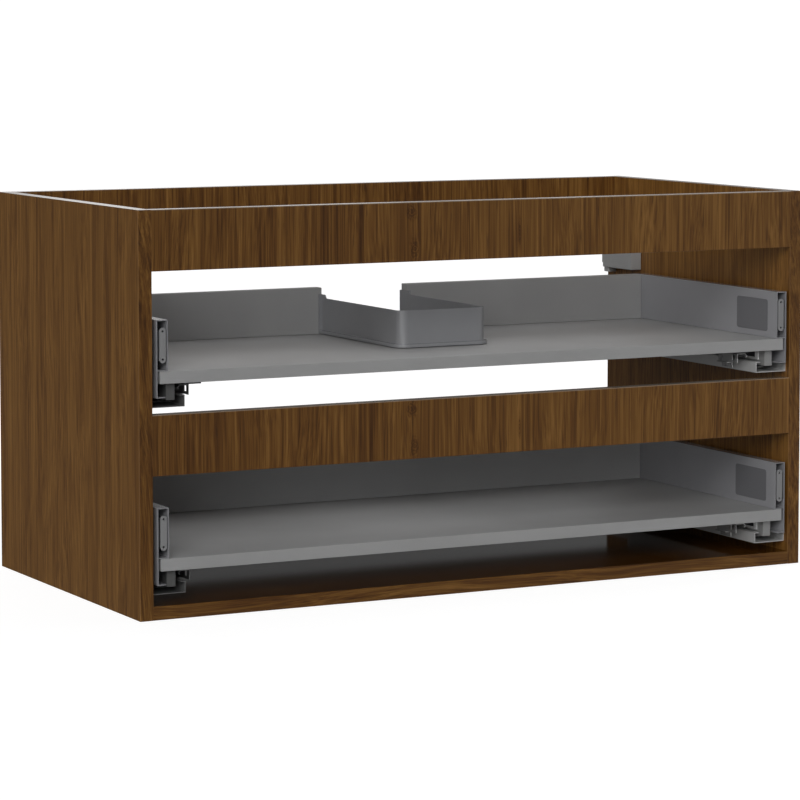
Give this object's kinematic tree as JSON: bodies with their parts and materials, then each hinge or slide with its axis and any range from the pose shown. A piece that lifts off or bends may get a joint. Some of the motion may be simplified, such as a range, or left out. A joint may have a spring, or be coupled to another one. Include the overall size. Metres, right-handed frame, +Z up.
{
  "type": "bathroom vanity cabinet",
  "caption": "Wall-hung bathroom vanity carcass in walnut-look board, open at front and top, with pull-out double-wall drawers, the top one notched for a siphon.",
  "frame": {"origin": "centre of the footprint of the carcass, at the underside of the side panels", "axes": "+X to the right as seen from the front, +Y towards the wall, +Z up"},
  "size_m": [1, 0.49, 0.522],
  "materials": {
    "walnut_laminate": "semi-gloss walnut decor with a fine pore, grain upright",
    "grey_laminate": "matt mid grey melamine with a fine texture",
    "graphite_steel": "satin graphite powder coat",
    "zinc_casting": "satin grey",
    "cap_plastic": "moulded, fine texture",
    "recess_plastic": "moulded, satin",
    "hanger_plastic": "moulded, satin",
    "dark_plastic": "moulded, satin",
    "galvanised_steel": "zinc plated, lightly oiled",
    "bright_steel": "bright zinc"
  },
  "bodies": {
    "carcass": {"side_panel_left": "walnut_laminate", "side_panel_right": "walnut_laminate", "bottom_panel": "walnut_laminate", "front_rail_top": "walnut_laminate", "front_rail_middle": "walnut_laminate", "rear_rail_top": "walnut_laminate", "hanger_cover_left": "hanger_plastic", "hanger_bracket_left": "galvanised_steel", "runner_channel_upper_left": "galvanised_steel", "runner_screw_upper_left_front": "bright_steel", "runner_screw_upper_left_rear": "bright_steel", "runner_channel_lower_left": "galvanised_steel", "runner_screw_lower_left_front": "bright_steel", "runner_screw_lower_left_rear": "bright_steel", "hanger_cover_right": "hanger_plastic", "hanger_bracket_right": "galvanised_steel", "runner_channel_upper_right": "galvanised_steel", "runner_screw_upper_right_front": "bright_steel", "runner_screw_upper_right_rear": "bright_steel", "runner_channel_lower_right": "galvanised_steel", "runner_screw_lower_right_front": "bright_steel", "runner_screw_lower_right_rear": "bright_steel"},
    "upper_drawer": {"runner_inner_upper_left": "galvanised_steel", "upper_drawer_wall_left": "graphite_steel", "upper_cover_cap_left": "cap_plastic", "upper_front_plate_left": "zinc_casting", "upper_locking_clip_left": "dark_plastic", "runner_inner_upper_right": "galvanised_steel", "upper_drawer_wall_right": "graphite_steel", "upper_cover_cap_right": "cap_plastic", "upper_front_plate_right": "zinc_casting", "upper_locking_clip_right": "dark_plastic", "upper_drawer_bottom": "grey_laminate", "upper_drawer_back_left": "grey_laminate", "upper_drawer_back_right": "grey_laminate", "siphon_recess": "recess_plastic"},
    "lower_drawer": {"runner_inner_lower_left": "galvanised_steel", "lower_drawer_wall_left": "graphite_steel", "lower_cover_cap_left": "cap_plastic", "lower_front_plate_left": "zinc_casting", "lower_locking_clip_left": "dark_plastic", "runner_inner_lower_right": "galvanised_steel", "lower_drawer_wall_right": "graphite_steel", "lower_cover_cap_right": "cap_plastic", "lower_front_plate_right": "zinc_casting", "lower_locking_clip_right": "dark_plastic", "lower_drawer_bottom": "grey_laminate", "lower_drawer_back": "grey_laminate"},
    "runner_middle_upper_left": {"runner_middle_upper_left": "galvanised_steel"},
    "runner_middle_upper_right": {"runner_middle_upper_right": "galvanised_steel"},
    "runner_middle_lower_left": {"runner_middle_lower_left": "galvanised_steel"},
    "runner_middle_lower_right": {"runner_middle_lower_right": "galvanised_steel"},
    "upper_release_lever_left": {"upper_release_lever_left": "bright_steel"},
    "upper_release_lever_right": {"upper_release_lever_right": "bright_steel"},
    "lower_release_lever_left": {"lower_release_lever_left": "bright_steel"},
    "lower_release_lever_right": {"lower_release_lever_right": "bright_steel"},
    "hanger_hook_left": {"hanger_hook_left": "galvanised_steel"},
    "hanger_hook_right": {"hanger_hook_right": "galvanised_steel"}
  },
  "joints": [
    {"name": "upper_drawer_slide", "type": "slide", "parent": "carcass", "child": "upper_drawer", "axis": [0, -1, 0], "range_m": [0, 0.375]},
    {"name": "lower_drawer_slide", "type": "slide", "parent": "carcass", "child": "lower_drawer", "axis": [0, -1, 0], "range_m": [0, 0.375]},
    {"name": "runner_middle_upper_left_slide", "type": "slide", "parent": "carcass", "child": "runner_middle_upper_left", "axis": [0, -1, 0], "range_m": [0, 0.1875]},
    {"name": "runner_middle_upper_right_slide", "type": "slide", "parent": "carcass", "child": "runner_middle_upper_right", "axis": [0, -1, 0], "range_m": [0, 0.1875]},
    {"name": "runner_middle_lower_left_slide", "type": "slide", "parent": "carcass", "child": "runner_middle_lower_left", "axis": [0, -1, 0], "range_m": [0, 0.1875]},
    {"name": "runner_middle_lower_right_slide", "type": "slide", "parent": "carcass", "child": "runner_middle_lower_right", "axis": [0, -1, 0], "range_m": [0, 0.1875]},
    {"name": "upper_release_lever_left_hinge", "type": "hinge", "parent": "upper_drawer", "child": "upper_release_lever_left", "pos_m": [-0.424, -0.172, 0.295], "axis": [0, 0, 1], "range_deg": [0, 8], "stiffness_Nm_per_rad": 0.05},
    {"name": "upper_release_lever_right_hinge", "type": "hinge", "parent": "upper_drawer", "child": "upper_release_lever_right", "pos_m": [0.424, -0.172, 0.295], "axis": [0, 0, -1], "range_deg": [0, 8], "stiffness_Nm_per_rad": 0.05},
    {"name": "lower_release_lever_left_hinge", "type": "hinge", "parent": "lower_drawer", "child": "lower_release_lever_left", "pos_m": [-0.424, -0.172, 0.056], "axis": [0, 0, 1], "range_deg": [0, 8], "stiffness_Nm_per_rad": 0.05},
    {"name": "lower_release_lever_right_hinge", "type": "hinge", "parent": "lower_drawer", "child": "lower_release_lever_right", "pos_m": [0.424, -0.172, 0.056], "axis": [0, 0, -1], "range_deg": [0, 8], "stiffness_Nm_per_rad": 0.05},
    {"name": "hanger_hook_left_depth", "type": "slide", "parent": "carcass", "child": "hanger_hook_left", "axis": [0, 1, 0], "range_m": [-0.004, 0.006]},
    {"name": "hanger_hook_right_depth", "type": "slide", "parent": "carcass", "child": "hanger_hook_right", "axis": [0, 1, 0], "range_m": [-0.004, 0.006]}
  ],
  "couplings": [
    {"joint": "runner_middle_upper_left_slide", "follows": "upper_drawer_slide", "ratio": 0.5},
    {"joint": "runner_middle_upper_right_slide", "follows": "upper_drawer_slide", "ratio": 0.5},
    {"joint": "runner_middle_lower_left_slide", "follows": "lower_drawer_slide", "ratio": 0.5},
    {"joint": "runner_middle_lower_right_slide", "follows": "lower_drawer_slide", "ratio": 0.5}
  ]
}
